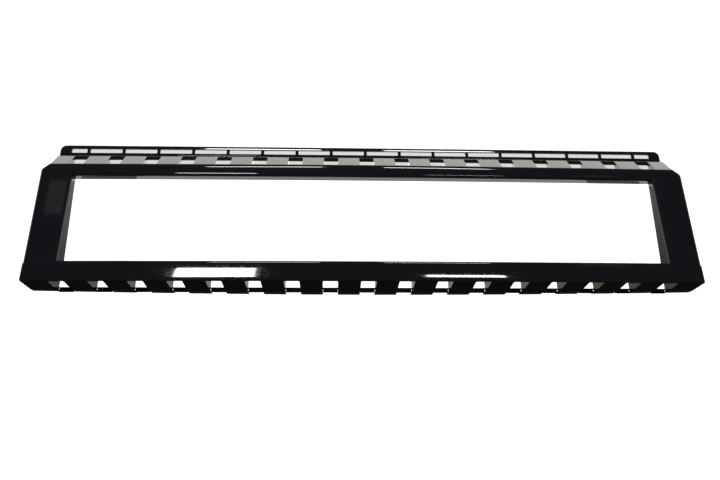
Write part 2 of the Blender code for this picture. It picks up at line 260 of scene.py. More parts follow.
def remap(tree, value, start, end, low=0.0, high=1.0):
    """Carry a value from the range low to high over to the range start to end."""
    return add_node(tree, "ShaderNodeMapRange", {"Value": value, "From Min": low, "From Max": high,
                                                 "To Min": start, "To Max": end}).outputs["Result"]


def node_group(name, inputs):
    """A geometry nodes tree with named inputs and one geometry output."""
    tree = bpy.data.node_groups.new(name, "GeometryNodeTree")
    for label, kind in inputs:
        tree.interface.new_socket(label, in_out="INPUT", socket_type="NodeSocket" + kind)
    tree.interface.new_socket("Result", in_out="OUTPUT", socket_type="NodeSocketGeometry")
    return tree, add_node(tree, "NodeGroupInput").outputs


def grow(piece, tree, **inputs):
    """Run a geometry nodes tree on a piece and keep the mesh that it makes."""
    maker = piece.modifiers.new(tree.name, "NODES")
    maker.node_group = tree
    names = {item.name: item.identifier for item in tree.interface.items_tree if item.in_out == "INPUT"}
    for key, value in inputs.items():
        maker[names[key]] = value
    applied(piece)
    for value in inputs.values():
        if isinstance(value, bpy.types.Object):
            bpy.data.objects.remove(value)


def window_row_tree():
    """Cut a row of windows, the bays between them and the bays at its ends from a rail."""
    tree, given = node_group("window_row", (
        ("Rail", "Geometry"), ("Window", "Object"), ("Bay", "Object"), ("Ends", "Object"),
        ("Windows", "Int"), ("Pitch", "Float"), ("Finish", "Material")))
    tools = add_node(tree, "GeometryNodeJoinGeometry")
    step = add_node(tree, "ShaderNodeCombineXYZ", {"X": given["Pitch"]}).outputs[0]
    for name, fewer in (("Window", 0), ("Bay", 1)):
        count = calculate(tree, "SUBTRACT", given["Windows"], fewer)
        span = calculate(tree, "SUBTRACT", count, 1.0)
        first = calculate(tree, "MULTIPLY", calculate(tree, "MULTIPLY", span, -0.5), given["Pitch"])
        start = add_node(tree, "ShaderNodeCombineXYZ", {"X": first}).outputs[0]
        line = add_node(tree, "GeometryNodeMeshLine",
                        {"Count": count, "Start Location": start, "Offset": step})
        tool = add_node(tree, "GeometryNodeObjectInfo", {"Object": given[name]}).outputs["Geometry"]
        row = add_node(tree, "GeometryNodeInstanceOnPoints", {"Points": line.outputs[0], "Instance": tool})
        tree.links.new(row.outputs[0], tools.inputs[0])
    ends = add_node(tree, "GeometryNodeObjectInfo", {"Object": given["Ends"]}).outputs["Geometry"]
    tree.links.new(ends, tools.inputs[0])
    solid = add_node(tree, "GeometryNodeRealizeInstances", {0: tools.outputs[0]}).outputs[0]
    carved = add_node(tree, "GeometryNodeMeshBoolean", {"Mesh 1": given["Rail"], "Mesh 2": solid},
                      operation="DIFFERENCE", solver="EXACT").outputs[0]
    whole = add_node(tree, "GeometryNodeRealizeInstances", {0: carved}).outputs[0]
    dressed = add_node(tree, "GeometryNodeSetMaterial", {"Geometry": whole, "Material": given["Finish"]})
    add_node(tree, "NodeGroupOutput", {0: dressed.outputs[0]})
    return tree


def linear(code):
    """An sRGB hex colour as linear red, green, blue and alpha."""
    parts = [int(code[i:i + 2], 16) / 255 for i in (1, 3, 5)]
    return (*[c / 12.92 if c <= 0.04045 else ((c + 0.055) / 1.055) ** 2.4 for c in parts], 1)


def make_gloss_black_abs():
    """Piano black ABS from a polished mould: deep and mirror-like, with a faint waviness."""
    made = bpy.data.materials.new("gloss_black_abs")
    made.use_nodes = True
    tree = made.node_tree
    shader = tree.nodes["Principled BSDF"]
    shader.inputs["Base Color"].default_value = linear("#0a0a0d")
    shader.inputs["IOR"].default_value = 1.52
    where = add_node(tree, "ShaderNodeTexCoord").outputs["Object"]
    # Sink and flow in the moulding bend its reflections over about 30 mm.
    flow = add_node(tree, "ShaderNodeTexNoise", {"Vector": where, "Scale": 33.0, "Detail": 1.0})
    bump = add_node(tree, "ShaderNodeBump",
                    {"Height": flow.outputs["Fac"], "Strength": 0.025, "Distance": 0.001})
    tree.links.new(bump.outputs["Normal"], shader.inputs["Normal"])
    # Handling leaves a slightly uneven gloss in patches of about 10 mm.
    patches = add_node(tree, "ShaderNodeTexNoise", {"Vector": where, "Scale": 100.0, "Detail": 3.0})
    tree.links.new(remap(tree, patches.outputs["Fac"], 0.03, 0.06, 0.35, 0.7), shader.inputs["Roughness"])
    return made


def bowed(point):
    """The point where a straight piece's point lies once the piece follows the bowed face."""
    share = 1 - BOW * crown(point.x) / DEPTH
    return Vector((point.x, point.y, box_low[2] + (point.z - box_low[2]) * share))


def soften(piece, radius):
    """Break the sharp edges as a mould or a press does, and keep the flats flat."""
    bevel = piece.modifiers.new("broken_edges", "BEVEL")
    bevel.width = radius
    bevel.segments = 2
    bevel.limit_method = "ANGLE"
    bevel.angle_limit = math.radians(32)
    bevel.use_clamp_overlap = False
    flats = piece.modifiers.new("flats", "WEIGHTED_NORMAL")
    flats.keep_sharp = True
    piece.data.shade_smooth()
    applied(piece)


def fit(piece, slot, *nodes):
    """Hand a finished piece to the frame in place of its plain solids."""
    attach(piece, "root")
    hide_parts(*nodes)


def dress(piece, slot, finish, node, radius=MOULD_EDGE):
    """Give a piece its one finish, lay it along the bow, break its edges and hand it over."""
    piece.data.materials.clear()
    piece.data.materials.append(finish)
    for vertex in piece.data.vertices:
        vertex.co = bowed(vertex.co)
    soften(piece, radius)
    fit(piece, slot, node)


def lower_outline(x):
    """The rail's section, whose rear margin gets shallower away from the middle."""
    start = MARGIN_START - REAR_CROWN * crown(x)
    edge = REAR_EDGE - REAR_CROWN * crown(x)
    lean = LEAN * max(0.0, RIB_BACK - start) / (REAR_EDGE - MARGIN_START)
    shares = [k / FACE_STEPS for k in range(FACE_STEPS)]
    face = [(FACE_FLAT_TO * (1 - share), FACE_DROP * share ** 2, 0) for share in shares]
    return rounded([(LOWER_TOP, LOWER_RETURN, 0), (LOWER_TOP, 0, EDGE), *face,
                    (0, FACE_DROP * 1.1, FACE_ROUND), (0, start, MARGIN_ROUND), (LEAN, edge, LIP_ROUND),
                    (LEAN + WALL, edge, 0), (WALL + lean, RIB_BACK, 0), (RIB_HEIGHT, RIB_BACK, 0),
                    (LOWER_TOP - WALL, LOWER_RETURN, 0)])


def boss_tools(points, radius, front, back):
    """Upright round tools at (x, height) points between two depths."""
    bodies = []
    for x, height in points:
        circle = [(x + radius * math.cos(math.tau * k / 24), height + radius * math.sin(math.tau * k / 24))
                  for k in range(24)]
        bodies.append(loft("round", [[place(a, b, depth) for a, b in circle] for depth in (front, back)]))
    return joined(bodies)


def add_bosses(piece, points):
    """Screw bosses behind a face, each with its pilot hole."""
    combine(piece, boss_tools(points, BOSS, WALL / 2, BOSS_BACK), "UNION")
    combine(piece, boss_tools(points, PILOT, PILOT_FRONT, BOSS_BACK + WALL))


def free_ends(rail, half, heights):
    """Cut the stretches of a rail's rounded edge that belong to the posts."""
    for side in (-1, 1):
        xs = sorted((side * SEAM_X, side * (half + BEYOND)))
        combine(rail, slab(xs, heights, (-BEYOND, DEPTH + BEYOND)))


def end_bays(outline, end):
    """The two pockets between the outer ribs and the ends of a rail."""
    start = OUTER_WINDOW + NOTCH / 2 + RIB
    return joined([bay_tool(outline, end - start, side * (start + end) / 2) for side in (-1, 1)])


GLOSS = make_gloss_black_abs()
WINDOW_ROW = window_row_tree()
BAY = PITCH - NOTCH - 2 * RIB
rail_high = LOWER_TOP - WALL
rail_bevel = EDGE - WALL / 2
outer_start = MARGIN_START - REAR_CROWN
outer_lean = LEAN * (RIB_BACK - outer_start) / (REAR_EDGE - MARGIN_START)
hollow = [(rail_high, EDGE + WALL / 2), (rail_high - rail_bevel, WALL), (WALL * 1.4, WALL + FACE_DROP),
          (WALL, WALL + 2 * FACE_DROP), (WALL, outer_start), (WALL + outer_lean, RIB_BACK),
          (2 * WALL + LEAN, REAR_EDGE - REAR_CROWN), (2 * WALL + LEAN, DEPTH), (rail_high, DEPTH)]
lower_rail = along_rail("lower_rail_moulding", LOWER_HALF, lower_outline)
grow(lower_rail, WINDOW_ROW, Windows=WINDOWS, Pitch=PITCH, Finish=GLOSS,
     Window=window_tool([(-WALL, LOWER_NOTCH_FRONT), (rail_high - rail_bevel, LOWER_NOTCH_FRONT),
                         (rail_high, EDGE + WALL / 2)], NOTCH_ROUND),
     Bay=bay_tool(hollow, BAY), Ends=end_bays(hollow, LOWER_HALF - WALL))
corner = rounded([(LOWER_HALF - LOWER_CORNER * 2, 0, 0), (LOWER_HALF, 0, LOWER_CORNER),
                  (LOWER_HALF, HEIGHT, 0)])
corner = [(corner[1].x, -BEYOND)] + corner[1:-1] + [(LOWER_HALF, LOWER_TOP + BEYOND)]
combine(lower_rail, end_mould(corner, END_EDGE, LOWER_DRAFT), "INTERSECT")
add_bosses(lower_rail, [(side * x, height) for side in (-1, 1) for x, height in RAIL_SCREWS["lower"]])
free_ends(lower_rail, LOWER_HALF, (LOWER_TOP - EDGE, LOWER_TOP + BEYOND))
dress(lower_rail, "gloss_black", GLOSS, "lower_rail")

# ---------------------------------------------------------------- posts
# The two short sides of the surround, open-backed channels in the same gloss ABS.
# Each turns the corners of the opening with the rails' bevel and butts against the
# rails in a fine line; brackets behind it hold it to both.

POST_WALL = 0.5306
POST_OUTER = 0.5875
POST_RETURNS = (0.0350, 0.0205)
POST_OUTER_RETURN = 0.0255
UPPER_WALL = 0.2020
UPPER_RETURN = 0.0170
POST_SCREWS = [0.0480, 0.0700, 0.1760, 0.1980]
POST_SCREW_X = 0.5515
POST_STATIONS = 12


def post_section(height):
    """The post's open-backed section, whose inner wall gets shallower towards the top."""
    low, high = LOWER_TOP - EDGE, UPPER_WALL + EDGE
    share = (height - low) / (high - low)
    depth = POST_RETURNS[0] + (POST_RETURNS[1] - POST_RETURNS[0]) * share
    return rounded([(POST_WALL, depth, 0), (POST_WALL, 0, EDGE), (POST_OUTER, 0, END_EDGE),
                    (POST_OUTER, POST_OUTER_RETURN, 0), (POST_OUTER - WALL, POST_OUTER_RETURN, 0),
                    (POST_OUTER - WALL, WALL, END_EDGE - WALL / 2), (POST_WALL + WALL, WALL, EDGE - WALL / 2),
                    (POST_WALL + WALL, depth, 0)])


def post_toe(wall, direction, depth):
    """The short stretch of a rail's rounded edge that belongs to the post."""
    section = [(wall, depth, 0), (wall, 0, EDGE), (wall + direction * (EDGE + WALL), 0, 0),
               (wall + direction * (EDGE + WALL), WALL, 0), (wall + direction * WALL, WALL, EDGE - WALL / 2),
               (wall + direction * WALL, depth, 0)]
    return rounded(section)


def make_post(name, node, side):
    """One post, with the corners of the opening, its screw bosses and its gloss."""
    low, high = LOWER_TOP - EDGE + SEAM, UPPER_WALL + EDGE - SEAM
    heights = [low + (high - low) * k / POST_STATIONS for k in range(POST_STATIONS + 1)]
    post = loft(name, [[place(side * x, height, depth) for x, depth in post_section(height)]
                       for height in heights])
    toes = []
    for wall, direction, depth in ((LOWER_TOP, -1, LOWER_RETURN), (UPPER_WALL, 1, UPPER_RETURN)):
        toe = loft("toe", [[place(side * x, *point) for point in post_toe(wall, direction, depth)]
                           for x in (SEAM_X + SEAM, POST_WALL + EDGE + WALL / 2)])
        toes.append(toe)
    for toe in toes:
        combine(post, toe, "UNION")
    reach = sorted((side * (SEAM_X - BEYOND), side * (POST_OUTER + BEYOND)))
    combine(post, slab(reach, (low, high), (-BEYOND, DEPTH)), "INTERSECT")
    add_bosses(post, [(side * POST_SCREW_X, height) for height in POST_SCREWS])
    dress(post, "gloss_black", GLOSS, node, POST_EDGE)


make_post("left_post_moulding", "left_post", -1)
make_post("right_post_moulding", "right_post", 1)

# ---------------------------------------------------------------- upper rail
# The narrow upper rail of the surround, moulded in gloss black ABS. Behind its
# face a wall slopes back with the second row of windows, and its outer corners
# are rounded off between the posts and the slope.

FACE_HIGH = 0.2245
FOLD = 0.0100
SLOPE_TOP = 0.2567
SLOPE_DEPTH = 0.0281
SLOPE_HALF = 0.5730
CORNER_DROP = 0.0100
FOLD_WALL = 0.00165
CORNER_ROUND = 0.0065
SLOPE_CORNER = 0.0040
LIP_STEP = 0.0040
UPPER_STEPS = 5
FACE_ROLL = 0.0007
ROLL_REACH = 0.26
FACE_START = 0.0006
GAP = 0.0003

seat = SLOPE_DEPTH + LIP_STEP - GAP
foot = UPPER_WALL + EDGE + FACE_START
step = (FACE_HIGH - FOLD / 2 - foot) / UPPER_STEPS
rolled_face = [(foot + step * k, 0, 0) for k in range(1, UPPER_STEPS + 1)]
upper_section = rounded([
    (UPPER_WALL, UPPER_RETURN, 0), (UPPER_WALL, 0, EDGE), *rolled_face, (FACE_HIGH, 0, FOLD),
    (SLOPE_TOP, SLOPE_DEPTH, LIP_ROUND), (SLOPE_TOP, seat, 0), (SLOPE_TOP - WALL, seat, 0),
    (UPPER_WALL + WALL, UPPER_RETURN, 0)])


def upper_outline(x):
    """The rail's section, its face rolled back a little towards the slope and away from the middle."""
    roll = FACE_ROLL * min(1.0, (x / ROLL_REACH) ** 2)
    outline = []
    for height, depth in upper_section:
        climb = min(1.0, max(0.0, (height - foot) / (FACE_HIGH - foot)))
        outline.append((height, depth + roll * climb ** 2 * max(0.0, 1 - depth / SLOPE_DEPTH)))
    return outline


slope_low = UPPER_WALL + WALL
slope_high = FACE_HIGH - FOLD_WALL
rise = (SLOPE_TOP - FACE_HIGH) / SLOPE_DEPTH
hollow = [(slope_low, EDGE + WALL / 2), (slope_low + rail_bevel, WALL), (slope_high, WALL),
          (slope_high + rise * (DEPTH - WALL), DEPTH), (slope_low, DEPTH)]
upper_rail = along_rail("upper_rail_moulding", POST_OUTER, upper_outline)
grow(upper_rail, WINDOW_ROW, Windows=WINDOWS, Pitch=PITCH, Finish=GLOSS,
     Window=window_tool([(slope_low, EDGE + WALL / 2), (slope_low + rail_bevel, WALL), (HEIGHT, WALL)],
                        NOTCH_ROUND / 2),
     Bay=bay_tool(hollow, BAY), Ends=end_bays(hollow, SLOPE_HALF - WALL))
corner = rounded([(POST_OUTER, UPPER_WALL - BEYOND, 0), (POST_OUTER, FACE_HIGH - CORNER_DROP, CORNER_ROUND),
                  (SLOPE_HALF, FACE_HIGH + WALL, SLOPE_CORNER), (SLOPE_HALF, HEIGHT, 0)])
combine(upper_rail, end_mould(corner, END_EDGE), "INTERSECT")
add_bosses(upper_rail, [(side * x, height) for side in (-1, 1) for x, height in RAIL_SCREWS["upper"]])
free_ends(upper_rail, POST_OUTER, (UPPER_WALL - BEYOND, UPPER_WALL + EDGE))
dress(upper_rail, "gloss_black", GLOSS, "upper_rail")

# ---------------------------------------------------------------- lower rear rail
# A slim gloss black bar that closes the backs of the lower notches and ties
# the ribs together, with a tongue that fills the wall's thickness in each notch.

REAR_BAR_DEPTH = 0.0605
REAR_BAR_HALF = 0.5740
BAR_HEIGHTS = (0.0072, 0.0095)
TONGUE_HEIGHTS = (0.0006, 0.0085)
BAR_ROUND = 0.0009

bar_back = REAR_BAR_DEPTH + WALL
bar_section = rounded([(BAR_HEIGHTS[0], REAR_BAR_DEPTH, 0), (BAR_HEIGHTS[1], REAR_BAR_DEPTH, BAR_ROUND),
                       (BAR_HEIGHTS[1], bar_back, BAR_ROUND), (BAR_HEIGHTS[0], bar_back, 0)])
lower_bar = along_rail("lower_rear_bar", REAR_BAR_HALF, lambda x: bar_section)
tongues = [slab((PITCH * k - NOTCH / 2 + GAP, PITCH * k + NOTCH / 2 - GAP), TONGUE_HEIGHTS,
                (REAR_BAR_DEPTH, bar_back)) for k in range(-SIDE_WINDOWS, SIDE_WINDOWS + 1)]
combine(lower_bar, joined(tongues), "UNION")
dress(lower_bar, "gloss_black", GLOSS, "lower_rear_rail")

# ---------------------------------------------------------------- upper rear rail
# The flange behind the upper windows, a gloss black moulding with a front lip,
# which carries the vent strip on its far edge.

STRIP_DEPTH = 0.0551
STRIP_LOW = 0.2745
FLANGE = 0.0024
FLANGE_DROP = 0.0080
FLANGE_START = Vector((SLOPE_TOP + WALL, SLOPE_DEPTH + LIP_STEP))
FLANGE_END = Vector((STRIP_LOW - GAP, STRIP_DEPTH))
ALONG = (FLANGE_END - FLANGE_START).normalized()
UNDER = Vector((-ALONG.y, ALONG.x))
STRIP_SCREWS = [PITCH * (step + 0.5) for step in (-8, -5, -2, 1, 4, 7)]
SCREW_INSET = 0.0075
FLANGE_ROUND = 0.0016
FLANGE_BEND = 0.0013

bend = FLANGE_START + UNDER * FLANGE + ALONG * FLANGE_BEND
lip_low = FLANGE_START.x - FLANGE_DROP
under_end = FLANGE_END + UNDER * FLANGE
flange_section = rounded([(lip_low, FLANGE_START.y, 0), (*FLANGE_START, FLANGE_ROUND),
                          (*FLANGE_END, LIP_ROUND), (*under_end, 0), (*bend, 0), (lip_low, bend.y, 0)])
flange = along_rail("upper_rear_flange", SLOPE_HALF, lambda x: flange_section)
dress(flange, "gloss_black", GLOSS, "upper_rear_rail")

# ---------------------------------------------------------------- vent strip
# The slotted strip along the top edge, moulded in gloss black ABS, parallel to the
# face and screwed from below to the rear flange by its foot.

STRIP_HALF = 0.5820
STRIP_CORNER = 0.0110
STRIP_EDGE = 0.0012
SLOT_LOW = 0.2792
SLOT_HIGH = 0.2879
SLOT_BAR = 0.0062
SLOT_END = 0.5630
SLOT_ROUND = 0.0013
STRIP_FOOT = 0.0130
RIM_ROLL = 0.0005
RIM_START = 0.0006
RIM_STEPS = 4

line = FLANGE_END + UNDER * (FLANGE + GAP)
start = line + ALONG * ((STRIP_LOW - line.x) / ALONG.x)
reach = start - ALONG * STRIP_FOOT
rim_low, rim_high = SLOT_HIGH + RIM_START, HEIGHT - STRIP_EDGE
shares = [k / RIM_STEPS for k in range(RIM_STEPS, -1, -1)]
rim = [(rim_low + (rim_high - rim_low) * share, STRIP_DEPTH + RIM_ROLL * share ** 2, 0) for share in shares]
strip_section = rounded([
    (HEIGHT, STRIP_DEPTH + 1.4 * RIM_ROLL, STRIP_EDGE / 2), *rim, (STRIP_LOW, STRIP_DEPTH, STRIP_EDGE),
    (*start, 0), (*reach, 0), (*(reach + UNDER * WALL), 0), (*(start + UNDER * WALL), 0),
    (SLOT_LOW, STRIP_DEPTH + WALL, 0), (HEIGHT, STRIP_DEPTH + WALL, LIP_ROUND)])
strip = along_rail("vent_strip_moulding", STRIP_HALF, lambda x: strip_section)
edges = [-SLOT_END] + [PITCH * k for k in range(-SIDE_WINDOWS, SIDE_WINDOWS + 1)] + [SLOT_END]
slots = []
for left, right in zip(edges, edges[1:]):
    left, right = left + SLOT_BAR / 2, right - SLOT_BAR / 2
    outline = rounded([(left, SLOT_LOW, SLOT_ROUND), (right, SLOT_LOW, SLOT_ROUND),
                       (right, SLOT_HIGH, SLOT_ROUND), (left, SLOT_HIGH, SLOT_ROUND)], turn_step=22)
    slots.append(loft("slot", [[place(x, height, depth) for x, height in outline]
                               for depth in (STRIP_DEPTH - WALL, STRIP_DEPTH + 2 * WALL)]))
combine(strip, joined(slots))
corner = rounded([(STRIP_HALF, SLOPE_TOP - BEYOND, 0), (STRIP_HALF, HEIGHT, STRIP_CORNER), (0, HEIGHT, 0)])
corner = corner[:-1] + [(STRIP_HALF - STRIP_CORNER - STRIP_EDGE, HEIGHT), (0.01, HEIGHT + BEYOND)]
combine(strip, end_mould(corner, STRIP_EDGE, front=STRIP_DEPTH), "INTERSECT")
dress(strip, "gloss_black", GLOSS, "vent_strip")

# ---------------------------------------------------------------- corner brackets
# Four bent plates of zinc plated steel behind the corners. Each ties a post to a
# rail, and its foot turns down to the mounting plane, with a punched bolt hole.

BRACKET_FACE = 0.0262
BRACKET_BEND = 0.0040
PLATE_X = (0.5450, 0.5835)
FOOT_X = (0.5615, 0.5835)
FOOT_HOLE = 0.0048
PLATE_HEIGHTS = {"lower": (0.0100, 0.0780), "upper": (0.1680, 0.2090)}
EAR_X = {"lower": (0.5500, 0.5800), "upper": (0.5500, 0.5640)}
EAR_HEIGHTS = {"lower": (0.0090, 0.0300), "upper": (0.2000, 0.2225)}
FOOT_HEIGHTS = {"lower": (0.0500, 0.0740), "upper": (0.1720, 0.1960)}
PLATE_ROUND = 0.0030
POST_SCREW_PAIRS = {"lower": POST_SCREWS[:2], "upper": POST_SCREWS[2:]}


def make_zinc_steel():
    """Bright zinc plate on pressed steel: satin, with a fine spangle and a faint blue passivation."""
    made = bpy.data.materials.new("zinc_plated_steel")
    made.use_nodes = True
    tree = made.node_tree
    shader = tree.nodes["Principled BSDF"]
    shader.inputs["Metallic"].default_value = 1.0
    where = add_node(tree, "ShaderNodeTexCoord").outputs["Object"]
    # The spangle's grains are drawn about 2 mm wide, a little coarser than real plating.
    grains = add_node(tree, "ShaderNodeTexVoronoi", {"Vector": where, "Scale": 500.0})
    stain = add_node(tree, "ShaderNodeTexNoise",
                     {"Vector": where, "Scale": 60.0, "Detail": 4.0}).outputs["Fac"]
    share = calculate(tree, "MULTIPLY", remap(tree, grains.outputs["Color"], 0.0, 1.0), stain)
    colour = add_node(tree, "ShaderNodeValToRGB", {"Fac": share})
    colour.color_ramp.elements[0].color = linear("#a9adb3")
    colour.color_ramp.elements[1].color = linear("#cdd2d8")
    tree.links.new(colour.outputs["Color"], shader.inputs["Base Color"])
    tree.links.new(remap(tree, stain, 0.28, 0.42, 0.3, 0.7), shader.inputs["Roughness"])
    # Rolling marks and the plating's grain, about 0.02 mm deep.
    bump = add_node(tree, "ShaderNodeBump", {"Height": share, "Strength": 0.25, "Distance": 0.00002})
    tree.links.new(bump.outputs["Normal"], shader.inputs["Normal"])
    return made


ZINC = make_zinc_steel()


def flat_plate(xs, heights, depths, radius):
    """A plate with rounded corners, parallel to the face."""
    corners = rounded([(xs[0], heights[0], radius), (xs[1], heights[0], radius),
                       (xs[1], heights[1], radius), (xs[0], heights[1], radius)])
    return loft("plate", [[place(x, height, depth) for x, height in corners] for depth in depths])


def make_bracket(name, node, row, side):
    """One corner bracket: a bent strip with its foot, and the plates that lie behind a post and a rail."""
    back = BRACKET_FACE + WALL
    inner = BRACKET_BEND - WALL
    overlap = PLATE_X[1] - 3 * BRACKET_BEND
    section = [(overlap, BRACKET_FACE, 0), (PLATE_X[1], BRACKET_FACE, BRACKET_BEND),
               (FOOT_X[1], DEPTH, BRACKET_BEND), (FOOT_X[0], DEPTH, 0), (FOOT_X[0], DEPTH - WALL, 0),
               (FOOT_X[1] - WALL, DEPTH - WALL, inner), (PLATE_X[1] - WALL, back, inner), (overlap, back, 0)]
    bent = rounded([(side * x, depth, radius) for x, depth, radius in section])
    bracket = loft(name, [[place(x, height, depth) for x, depth in bent] for height in FOOT_HEIGHTS[row]])
    plate_end = PLATE_X[1] - 1.5 * BRACKET_BEND
    plates = ((PLATE_X[0], plate_end, PLATE_HEIGHTS[row]), (*EAR_X[row], EAR_HEIGHTS[row]))
    for low, high, heights in plates:
        plate = flat_plate(sorted((side * low, side * high)), heights, (BRACKET_FACE, back), PLATE_ROUND)
        combine(bracket, plate, "UNION")
    holes = [(side * x, height) for x, height in RAIL_SCREWS[row]]
    holes += [(side * POST_SCREW_X, height) for height in POST_SCREW_PAIRS[row]]
    combine(bracket, boss_tools(holes, PILOT, BRACKET_FACE - WALL, back + WALL))
    middle = (side * (sum(FOOT_X) - WALL) / 2, sum(FOOT_HEIGHTS[row]) / 2)
    combine(bracket, boss_tools([middle], FOOT_HOLE, DEPTH - 2 * WALL, DEPTH + WALL))
    dress(bracket, "zinc_steel", ZINC, node, PRESS_EDGE)


for row in ("lower", "upper"):
    for hand, side in (("left", -1), ("right", 1)):
        make_bracket(f"{row}_{hand}_bracket_plate", f"{row}_{hand}_bracket", row, side)

# ---------------------------------------------------------------- bushes and screws
# A turned steel bush in each foot keeps its bolt from crushing it. Pan-head thread
# forming screws of zinc plated steel, with a six-lobed drive, hold the brackets to
# the mouldings and the vent strip to the rear flange.

BUSH_BORE = 0.0033
SCREW_HEAD = 0.0035
SCREW_HEAD_HEIGHT = 0.0022
THREAD = 0.00125
THREAD_ROOT = 0.00095
THREAD_PITCH = 0.0009
THREAD_START = 0.0003
DRIVE_RADIUS = 0.00155
DRIVE_LOBE = 0.00022
DRIVE_FLOOR = 0.0008
CORNER_SCREW_REACH = 0.0092
STRIP_SCREW_REACH = 0.0048
BUSH_HEIGHT = 0.0045
BUSH_CHAMFER = 0.0003


def turned(name, profile, sides=32):
    """A closed ring or bar turned from (radius, height) points."""
    rings = []
    for k in range(sides):
        turn = math.tau * k / sides
        rings.append([Vector((r * math.cos(turn), r * math.sin(turn), z)) for r, z in profile])
    bm = bmesh.new()
    loops = [[bm.verts.new(co) for co in ring] for ring in rings]
    for one, two in zip(loops, loops[1:] + loops[:1]):
        for i in range(len(one)):
            j = (i + 1) % len(one)
            bm.faces.new((one[i], one[j], two[j], two[i]))
    bmesh.ops.remove_doubles(bm, verts=bm.verts, dist=1e-6)
    bmesh.ops.dissolve_degenerate(bm, edges=bm.edges, dist=1e-7)
    bmesh.ops.recalc_face_normals(bm, faces=bm.faces)
    mesh = bpy.data.meshes.new(name)
    bm.to_mesh(mesh)
    bm.free()
    made = bpy.data.objects.new(name, mesh)
    bpy.context.scene.collection.objects.link(made)
    return made


def screw_body(reach):
    """One screw: its head stands on z = 0 and its thread runs up to reach."""
    turns = [math.radians(degrees) for degrees in range(0, 90, 15)]
    head = [(SCREW_HEAD * math.cos(turn), -SCREW_HEAD_HEIGHT * (0.35 + 0.65 * math.sin(turn)))
            for turn in turns]
    head.append((0.0, -SCREW_HEAD_HEIGHT))
    thread = []
    for k in range(int((reach - 0.001) / THREAD_PITCH)):
        low = THREAD_START + THREAD_PITCH * k
        thread += [(THREAD_ROOT, low), (THREAD, low + THREAD_PITCH * 0.5),
                   (THREAD_ROOT, low + THREAD_PITCH * 0.9)]
    profile = [(0.0, reach), *reversed(thread), (THREAD_ROOT, 0.0), (SCREW_HEAD, 0.0), *head]
    body = turned("screw", profile, 24)
    lobes = []
    for k in range(36):
        turn = math.tau * k / 36
        radius = DRIVE_RADIUS + DRIVE_LOBE * math.cos(6 * turn)
        lobes.append((radius * math.cos(turn), radius * math.sin(turn)))
    ends = (-DRIVE_FLOOR, -SCREW_HEAD_HEIGHT - 0.001)
    drive = loft("drive", [[Vector((x, y, z)) for x, y in lobes] for z in ends])
    combine(body, drive)
    return body


def fastener_tree():
    """Put one fastener at each point of a mesh, turned along the point's own direction."""
    tree, given = node_group("fasteners", (
        ("Points", "Geometry"), ("Fastener", "Object"), ("Finish", "Material")))
    aim = add_node(tree, "GeometryNodeInputNamedAttribute", {"Name": "direction"}, data_type="FLOAT_VECTOR")
    spin = add_node(tree, "FunctionNodeAlignRotationToVector", {"Vector": aim.outputs["Attribute"]}, axis="Z")
    tool = add_node(tree, "GeometryNodeObjectInfo", {"Object": given["Fastener"]}).outputs["Geometry"]
    points = add_node(tree, "GeometryNodeInstanceOnPoints",
                      {"Points": given["Points"], "Instance": tool, "Rotation": spin.outputs[0]})
    whole = add_node(tree, "GeometryNodeRealizeInstances", {0: points.outputs[0]}).outputs[0]
    dressed = add_node(tree, "GeometryNodeSetMaterial", {"Geometry": whole, "Material": given["Finish"]})
    add_node(tree, "NodeGroupOutput", {0: dressed.outputs[0]})
    return tree


FASTENERS = fastener_tree()


def set_fasteners(name, body, seats, nodes):
    """Fasteners at (place, direction) seats, as one piece in place of their plain nodes."""
    mesh = bpy.data.meshes.new(name)
    mesh.from_pydata([seat for seat, _ in seats], [], [])
    aims = mesh.attributes.new("direction", "FLOAT_VECTOR", "POINT")
    for point, (_, direction) in zip(aims.data, seats):
        point.vector = direction
    piece = bpy.data.objects.new(name, mesh)
    bpy.context.scene.collection.objects.link(piece)
    grow(piece, FASTENERS, Fastener=body, Finish=ZINC)
    soften(piece, SCREW_EDGE)
    fit(piece, "zinc_steel", *nodes)


UP = Vector((0, 0, 1))


def under_middle(node, lift=0.0):
    """The upright seat under the middle of a plain node's box."""
    low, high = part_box(node)
    return Vector(((low.x + high.x) / 2, (low.y + high.y) / 2, low.z + lift)), UP


outer = FOOT_HOLE - GAP
bush_profile = [(BUSH_BORE, BUSH_CHAMFER), (BUSH_BORE + BUSH_CHAMFER, 0), (outer - BUSH_CHAMFER, 0),
                (outer, BUSH_CHAMFER), (outer, BUSH_HEIGHT - BUSH_CHAMFER),
                (outer - BUSH_CHAMFER, BUSH_HEIGHT), (BUSH_BORE + BUSH_CHAMFER, BUSH_HEIGHT),
                (BUSH_BORE, BUSH_HEIGHT - BUSH_CHAMFER)]
hands = [(row, hand) for row in ("lower", "upper") for hand in ("left", "right")]
bush_nodes = [f"{row}_{hand}_bush" for row, hand in hands]
bush_seats = [under_middle(node) for node in bush_nodes]
set_fasteners("foot_bushes", turned("bush", bush_profile), bush_seats, bush_nodes)

corner_nodes = [f"{row}_{hand}_screw_{k}" for row, hand in hands
                for k in range(1, len(RAIL_SCREWS[row] + POST_SCREW_PAIRS[row]) + 1)]
corner_seats = [under_middle(node, SCREW_HEAD_HEIGHT) for node in corner_nodes]
set_fasteners("corner_screws", screw_body(CORNER_SCREW_REACH), corner_seats, corner_nodes)

OUTWARD = Vector((0, -UNDER.x, UNDER.y))
strip_seats = []
for x in STRIP_SCREWS:
    height, depth = FLANGE_END - ALONG * SCREW_INSET + UNDER * (FLANGE + 2 * GAP + WALL)
    strip_seats.append((bowed(place(x, height, depth)), OUTWARD))
strip_nodes = [f"strip_screw_{k + 1}" for k in range(len(STRIP_SCREWS))]
set_fasteners("strip_screws", screw_body(STRIP_SCREW_REACH), strip_seats, strip_nodes)

